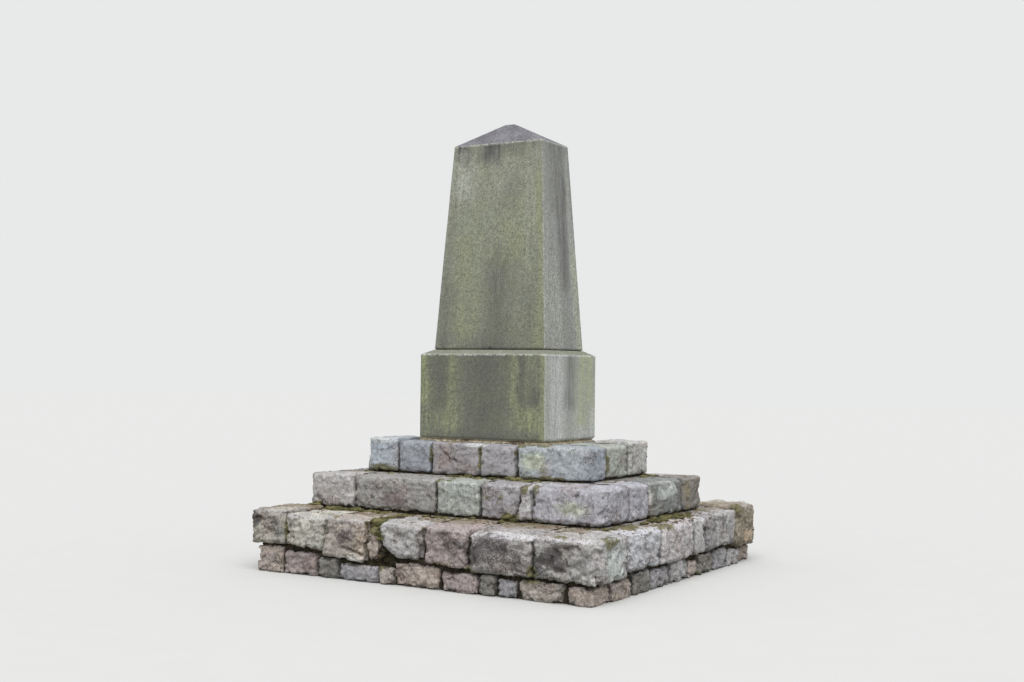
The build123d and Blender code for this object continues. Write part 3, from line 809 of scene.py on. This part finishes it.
plinthLook = {
    "rise": 0.701, "foot": halfPlan("plinth"), "head": halfPlan("plinth"),
    "front": paint(124, 126, 114), "side": paint(186, 188, 183), "algae": paint(134, 138, 114),
    "algaeSide": paint(174, 180, 150), "dark": paint(90, 90, 89), "grey": paint(112, 113, 108),
    "pale": paint(202, 204, 202), "green": paint(150, 156, 122), "top": paint(148, 150, 136),
    "topDark": paint(128, 130, 116), "topLow": 0.699, "topHigh": 0.706, "rising": 0.0,
    "streak": 0.7, "mottle": 1.1, "speck": 1.5,
    "frontStains": [
        (-0.94, 0.12, 0.45, 1.15, "green", 1.0), (-0.92, 0.14, -0.15, 0.60, "green", 0.6),
        (-0.62, 0.24, 0.38, 1.15, "dark", 0.5), (-0.45, 0.10, 0.10, 1.15, "green", 0.5),
        (0.08, 0.44, -0.15, 1.15, "dark", 0.6), (0.52, 0.10, 0.40, 1.15, "green", 0.6),
        (0.64, 0.07, 0.30, 1.15, "dark", 0.6), (0.78, 0.10, 0.50, 1.15, "green", 0.35),
        (0.84, 0.12, 0.36, 0.62, "dark", 0.7), (0.74, 0.30, 0.16, 0.38, "green", 0.9),
        (-0.60, 0.36, 0.10, 0.34, "green", 0.5), (0.00, 1.30, -0.15, 0.10, "dark", 0.45),
        (0.97, 0.07, -0.15, 1.15, "green", 0.5),
    ],
    "sideStains": [
        (-0.95, 0.10, -0.15, 1.15, "green", 0.25), (-0.45, 0.45, -0.15, 1.15, "pale", 0.7),
        (-0.02, 0.34, 0.36, 1.15, "dark", 0.7), (-0.10, 0.24, -0.15, 0.60, "grey", 0.4),
        (0.58, 0.52, 0.12, 1.15, "algaeSide", 1.0), (0.85, 0.25, -0.15, 0.40, "pale", 0.5),
    ],
}


# The shaft and plinth: even faces with shallow hollows and nicked arrises
def dressedStone(name, look, salt):
    grain = dressing["grain"] * 1
    skins = []
    for points, faces in solidsOf(name):
        plain, normals, quads = evenSkin(points, faces, grain)
        arris = np.linalg.norm(plain - relaxed(plain, quads, dressing["arrisRounds"]), axis=1)
        hollow = layered(plain, dressing["hollowSize"], salt, 4) * dressing["hollow"]
        broken = fade(layered(plain, dressing["nickSize"], salt + 4, 3), 0.75, 0.42)
        worn = dressing["worn"] * layered(plain, dressing["wornSize"], salt + 9)
        worn = np.clip(arris * (worn + broken * dressing["nick"]), 0, dressing["nickDepth"])
        carved = plain + normals * (hollow - worn)[:, None]
        skins.append((carved, quads, ()))
    piece = joinSkins(name + "_stone", skins, [])
    piece.data.materials.append(dressedMaterial(name, look))
    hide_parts(name)
    return piece


# Old mortar: sandy crumbs whose hollows are darkened with painted shade, and a little moss
def mortarMaterial(name, colours):
    mortar = Shade(name)
    at = mortar.place()
    lump = mortar.noise(at, 26.0, 5.0, 0.7)
    sand = mortar.noise(at, 160.0, 2.0, 0.6)
    damp = mortar.noise(at, 6.0, 4.0, 0.6)
    # the first colour falls where the lumps are low: painted shade in the hollows
    colour = mortar.blend(colours[0], colours[1], mortar.step(lump, 0.42, 0.6))
    colour = mortar.blend(colour, colours[2], mortar.step(damp, 0.5, 0.62) * 0.7)
    colour = mortar.tone(colour, 0.4 + sand * 1.2)
    return mortar.finish(colour, 0.85 + sand * 0.1, lump + sand * 0.4, 0.008, 0.2)


# Many small lumps as one piece: each has a place, half sizes and a turn about the vertical
def lumps(name, places, sizes, detail, roughness, salt, material):
    ball = bmesh.new()
    bmesh.ops.create_icosphere(ball, subdivisions=detail, radius=1.0)
    points = np.array([vertex.co for vertex in ball.verts])
    faces = np.array([[vertex.index for vertex in face.verts] for face in ball.faces])
    ball.free()
    skins = []
    for index, (place, size) in enumerate(zip(places, sizes)):
        turn = scatter(np.array([[index, 3, salt]]), 8)[0] * math.tau
        bulge = 1 + layered(points + index * 3.7, 0.7, salt, 2) * roughness
        shape = points * bulge[:, None] * size
        cosine, sine = math.cos(turn), math.sin(turn)
        spin = np.array([[cosine, -sine, 0], [sine, cosine, 0], [0, 0, 1]])
        skins.append((shape @ spin.T + place, faces, ()))
    piece = joinSkins(name, skins, [])
    piece.data.materials.append(material)
    return piece


rock = rockMaterial()
stonePieces = []
for index, name in enumerate(sorted(nodes)):
    if name.split("_")[0] in courses and "hearting" not in name:
        stonePieces.append(blocks(name, 101 + index * 211))
        stonePieces[-1].data.materials.append(rock)
print("blocks carved:", triangles(stonePieces), "triangles")

dressed = [dressedStone("shaft", shaftLook, 61), dressedStone("plinth", plinthLook, 83)]
print("shaft and plinth:", triangles(dressed), "triangles")

# the pointing of the hearting and beds is dark: its colours carry painted shade for the gaps between
# the stones
pointingShade = mortarMaterial("pointingShade", [paint(50, 44, 36), paint(88, 78, 62), paint(46, 46, 28)])
bedding = mortarMaterial("bedding", [paint(150, 137, 114), paint(198, 189, 165), paint(98, 80, 62)])
for name in nodes:
    if "hearting" in name or name.endswith("_bed"):
        nodes[name].data.materials.clear()
        nodes[name].data.materials.append(bedding if name == "plinth_bed" else pointingShade)


# Where a plumb line through a place meets the stones
def dropped(x, y, start):
    hits = []
    for piece in stonePieces:
        found, place, _, _ = piece.ray_cast((x, y, start), (0, 0, -1))
        if found:
            hits.append(place.z)
    return max(hits, default=0.0)


# A walk round a rectangle: place, and the outward direction there
def aroundBox(middle, half, share):
    lengths = [half[0] * 2, half[1] * 2, half[0] * 2, half[1] * 2]
    run = share % 1 * sum(lengths)
    outward = [(0, -1), (1, 0), (0, 1), (-1, 0)]
    for side, length in enumerate(lengths):
        if run <= length:
            break
        run -= length
    out = np.array(outward[side])
    along = np.array([-out[1], out[0]])
    reach = half * np.abs(out)
    return middle + out * reach.sum() + along * (run - length / 2), out


crumbs = {
    "count": 420, "size": (0.006, 0.020), "long": (1, 2.2), "thick": 0.45,
    "reach": 0.018, "drop": 0.03,
}
cushions = {
    "count": 230, "tries": 9000, "size": (0.012, 0.040), "long": (1, 1.7), "thick": 0.42,
    "reach": 0.04, "near": 0.05,
    "treads": (("middle", "lower", 0.66), ("upper", "middle", 0.34)),
    "clumps": [
        (-0.365, -1.47, 0.440), (-0.345, -1.49, 0.415), (-0.310, -1.48, 0.430),
        (-0.300, -1.50, 0.385), (-0.285, -1.49, 0.350), (-0.330, -1.44, 0.460),
        (0.545, -1.01, 0.500), (0.600, -1.01, 0.505), (0.575, -1.02, 0.530),
    ],
    "openJoint": {"count": 110, "across": (-0.395, -0.305), "along": (-1.47, -1.02), "level": 0.460},
    "clumpSize": (0.045, 0.035, 0.026),
}
litter = {
    "count": 900, "size": (0.004, 0.013), "long": (1, 2.6), "thick": 0.4,
    "start": 0.01, "near": 0.06,
    "treads": (("middle", "lower", 0.8, 0.16), ("upper", "middle", 0.2, 0.10)),
}
chance = random.Random(7)


def lumpSize(size, look):  # half sizes of a flat lump that is longer one way
    return size * chance.uniform(*look["long"]), size, size * look["thick"]


def bedCrumbs():  # mortar squeezed out and crumbled round the foot of the plinth
    middle, half = spread("plinth_bed")
    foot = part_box("plinth")[0].z
    places, sizes = [], []
    for index in range(crumbs["count"]):
        place, out = aroundBox(middle, half, index / crumbs["count"] + chance.uniform(0, 0.004))
        size = chance.uniform(*crumbs["size"])
        x, y = place + out * chance.uniform(0, crumbs["reach"])
        level = max(dropped(x, y, foot - 0.001), foot - crumbs["drop"])
        places.append((x, y, level + size * 0.3))
        sizes.append(lumpSize(size, crumbs))
    lumps("bed_crumbs", places, sizes, 1, 0.5, 3, bedding)


def besideCourse(word, start, reach):  # a place on the tread round a course
    place, out = aroundBox(*spread(word), chance.random())
    return place + out * abs(chance.gauss(start, reach))


def strew(x, y, tread, look, places, sizes):  # a lump there, if the stone is near the tread
    size = chance.uniform(*look["size"])
    level = dropped(x, y, tread + 0.08)
    if abs(level - tread) <= look["near"]:
        places.append((x, y, level + size * 0.1))
        sizes.append(lumpSize(size, look))


def mossCushions():  # in the open joint and along the foot of the two upper courses
    places, joint = list(cushions["clumps"]), cushions["openJoint"]
    for _ in range(joint["count"]):
        x, y = chance.uniform(*joint["across"]), chance.uniform(*joint["along"])
        places.append((x, y, joint["level"] + chance.uniform(-0.02, 0.01)))
    sizes = [cushions["clumpSize"]] * len(places)
    for word, below, share in cushions["treads"]:
        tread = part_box(below + "_hearting")[1].z
        tries = 0
        wanted = len(places) + int(cushions["count"] * share)
        while len(places) < wanted and tries < cushions["tries"]:
            tries += 1
            x, y = besideCourse(word, 0, cushions["reach"])
            if layered(np.array([[x, y, tread]]), 0.4, 9, 3)[0] < chance.uniform(-0.1, 0.35):
                continue
            strew(x, y, tread, cushions, places, sizes)
    lumps("moss_cushions", places, sizes, 2, 0.8, 5, mossMaterial())


def treadLitter():  # crumbs of stone, bark and needles on the treads
    places, sizes = [], []
    for word, below, share, reach in litter["treads"]:
        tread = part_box(below + "_hearting")[1].z
        for _ in range(int(litter["count"] * share)):
            x, y = besideCourse(word, litter["start"], reach)
            strew(x, y, tread, litter, places, sizes)
    lumps("tread_litter", places, sizes, 1, 0.4, 11, litterMaterial())


pinnings = [  # place and size of the small stones wedged under the broken corner of the front
    ((-0.305, -1.455, 0.215), 0.055), ((-0.235, -1.450, 0.185), 0.040),
    ((-0.345, -1.450, 0.285), 0.040), ((-0.190, -1.455, 0.172), 0.030),
    ((-0.300, -1.445, 0.300), 0.030), ((-0.270, -1.450, 0.255), 0.035),
]


def pinningStones():  # the back has the same, turned half round
    places = [place for place, _ in pinnings] + [(-x, -y, z) for (x, y, z), _ in pinnings]
    sizes = [(size * 1.3, size, size * 0.7) for _, size in pinnings * 2]
    # the pinning stones wear the pointing's dark colours, which carry painted shade
    lumps("pinning_stones", places, sizes, 3, 0.5, 21, pointingShade)


def mossMaterial():
    tuft = Shade("mossTuft")
    at = tuft.place()
    fine = tuft.noise(at, 130.0, 3.0, 0.7)
    broad = tuft.noise(at, 12.0, 3.0, 0.6)
    clump = tuft.noise(at, 48.0, 4.0, 0.7)
    colour = tuft.blend(*mossPaints, tuft.step(broad, 0.42, 0.62))
    colour = tuft.tone(colour, fine * 1.3 + clump * 1.6 - 0.45)
    return tuft.finish(colour, 0.95, fine, 0.012, 0.1)


def litterMaterial():
    crumb = Shade("crumb")
    at = crumb.place()
    pick = crumb.noise(at, 40.0, 1.0, 0.5)
    fine = crumb.noise(at, 200.0, 2.0, 0.6)
    colour = crumb.blend(paint(104, 90, 74), paint(156, 146, 130), crumb.step(pick, 0.46, 0.6))
    colour = crumb.tone(colour, 0.5 + fine)
    return crumb.finish(colour, 0.9, fine, 0.003, 0.15)


bpy.context.view_layer.update()
bedCrumbs()
mossCushions()
treadLitter()
pinningStones()
print("mortar, moss and litter done")

# Floor, light and camera
studio = {
    "floorHalf": 60.0,
    "floor": paint(216, 216, 214),
    "bounce": paint(128, 130, 122),
    "backdrop": paint(232, 233, 233),
    "skyTint": (0.97, 0.985, 1.0, 1.0),
    "sky": 0.62,
    "sun": 2.3,
    "sunFrom": (0.42, -0.62, 1.0),
    "soft": 60.0,
}
floorMesh = bpy.data.meshes.new("floor")
half = studio["floorHalf"]
floorMesh.from_pydata(
    [(-half, -half, 0), (half, -half, 0), (half, half, 0), (-half, half, 0)], [], [(0, 1, 2, 3)]
)
floor = added("floor", floorMesh)
ground = Shade("groundPaint")
floorMesh.materials.append(ground.finish(
    ground.tone(
        ground.blend(studio["bounce"], studio["floor"], ground.watched()),
        0.98 + ground.noise(ground.place(), 3.0) * 0.04,
    ),
    0.9, ground.noise(ground.place(), 60.0), 0.0005, 0.0,
))

air = Shade("studio", bpy.data.worlds.new("studio"))
soft = air.make("Background", None, {"Color": studio["skyTint"], "Strength": studio["sky"]})
backdrop = air.make("Background", None, {"Color": studio["backdrop"]})
mixed = air.make("MixShader", None, {0: air.watched(), 1: soft, 2: backdrop})
air.make("OutputWorld", None, {"Surface": mixed})
bpy.context.scene.world = air.material

sunData = bpy.data.lights.new("key", "SUN")
sunData.energy = studio["sun"]
sunData.angle = math.radians(studio["soft"])
sun = added("key", sunData)
sun.rotation_euler = Vector(studio["sunFrom"]).to_track_quat("Z", "Y").to_euler()

view = {  # metres, degrees, and millimetres of lens and film
    "eye": (5.901, -9.840, 1.650), "yaw": 31.106, "pitch": 1.268, "roll": 0.643,
    "lens": 47.17, "film": 36.0,
}
yaw, pitch, roll = (math.radians(view[word]) for word in ("yaw", "pitch", "roll"))
ahead = Vector((-math.sin(yaw) * math.cos(pitch), math.cos(yaw) * math.cos(pitch), math.sin(pitch)))
level = Vector((math.cos(yaw), math.sin(yaw), 0))
rise = level.cross(ahead)
right = math.cos(roll) * level + math.sin(roll) * rise
upward = math.cos(roll) * rise - math.sin(roll) * level
cameraData = bpy.data.cameras.new("camera")
cameraData.lens = view["lens"]
cameraData.sensor_width = view["film"]
camera = added("camera", cameraData)
camera.matrix_world = Matrix((right, upward, -ahead)).transposed().to_4x4()
camera.location = view["eye"]
bpy.context.scene.camera = camera
bpy.context.scene.view_settings.view_transform = "Standard"
print("studio ready")
